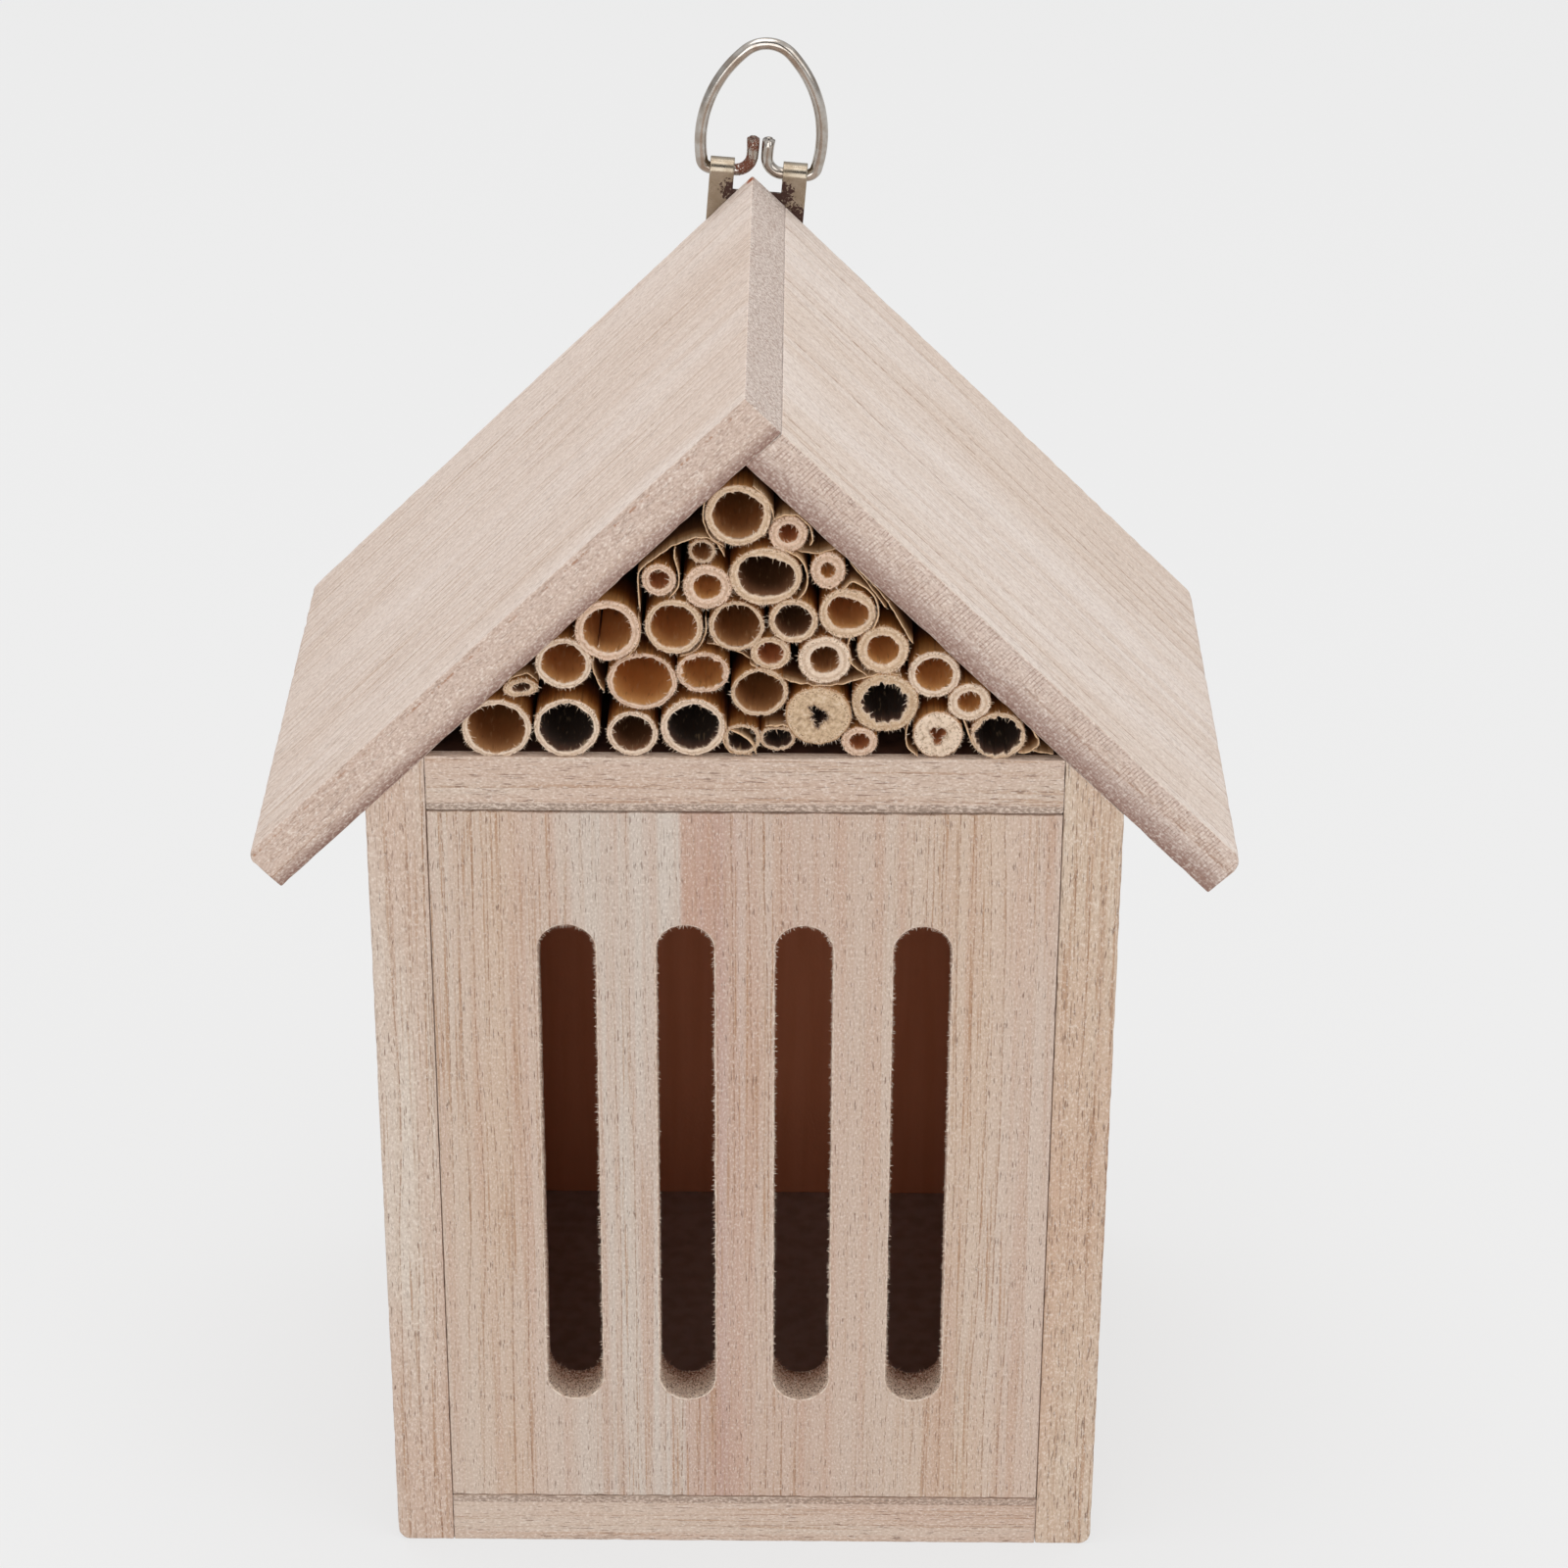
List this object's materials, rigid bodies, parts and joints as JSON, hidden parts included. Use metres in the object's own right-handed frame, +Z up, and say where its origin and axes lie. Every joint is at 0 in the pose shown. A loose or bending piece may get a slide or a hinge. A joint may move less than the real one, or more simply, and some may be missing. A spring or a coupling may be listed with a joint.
{
  "type": "insect hotel",
  "caption": "Wooden bee and insect nesting house with a gable of hollow reeds over a slotted chamber and a swinging wire hanging ring.",
  "frame": {"origin": "centre of the underside of the box, on the surface it stands on", "axes": "+X to the right seen from the front, -Y out of the slotted front, +Z up to the ridge"},
  "size_m": [0.1964, 0.1252, 0.2993],
  "materials": {
    "roof_boards": "planed, untreated softwood with fine straight grain",
    "side_boards": "planed, untreated softwood",
    "cross_boards": "planed, untreated softwood",
    "front_panel": "planed, edge-glued, with fuzzy routed slots",
    "back_panel": "thin smooth panel",
    "reeds": "cut dry reed, pale waxy skin and fibrous ends",
    "hanger_plate": "zinc plated, lightly rusted at the cut edges",
    "ring_wire": "nickel plated wire",
    "hanger_screws": "zinc plated",
    "nailing_pins": "bright steel pins"
  },
  "bodies": {
    "house": {"side_left": "side_boards", "side_right": "side_boards", "floor_board": "cross_boards", "shelf_board": "cross_boards", "front_panel": "front_panel", "back_panel": "back_panel", "roof_left": "roof_boards", "roof_right": "roof_boards", "wall_pins": "nailing_pins", "roof_pins": "nailing_pins", "back_pins": "nailing_pins", "hanger_plate": "hanger_plate", "hanger_screws": "hanger_screws", "reed_01": "reeds", "reed_02": "reeds", "reed_03": "reeds", "reed_04": "reeds", "reed_05": "reeds", "reed_06": "reeds", "reed_07": "reeds", "reed_08": "reeds", "reed_09": "reeds", "reed_10": "reeds", "reed_11": "reeds", "reed_12": "reeds", "reed_13": "reeds", "reed_14": "reeds", "reed_15": "reeds", "reed_16": "reeds", "reed_17": "reeds", "reed_18": "reeds", "reed_19": "reeds", "reed_20": "reeds", "reed_21": "reeds", "reed_22": "reeds", "reed_23": "reeds", "reed_24": "reeds", "reed_25": "reeds", "reed_26": "reeds", "reed_27": "reeds", "reed_28": "reeds", "reed_29": "reeds", "reed_30": "reeds", "reed_31": "reeds", "reed_32": "reeds", "reed_33": "reeds"},
    "ring": {"hanger_ring": "ring_wire"}
  },
  "joints": [
    {"name": "ring_swing", "type": "hinge", "parent": "house", "child": "ring", "pos_m": [0.0012, 0.0626, 0.2695], "axis": [0.9969, 0, -0.0785], "range_deg": [-175, 45]}
  ]
}
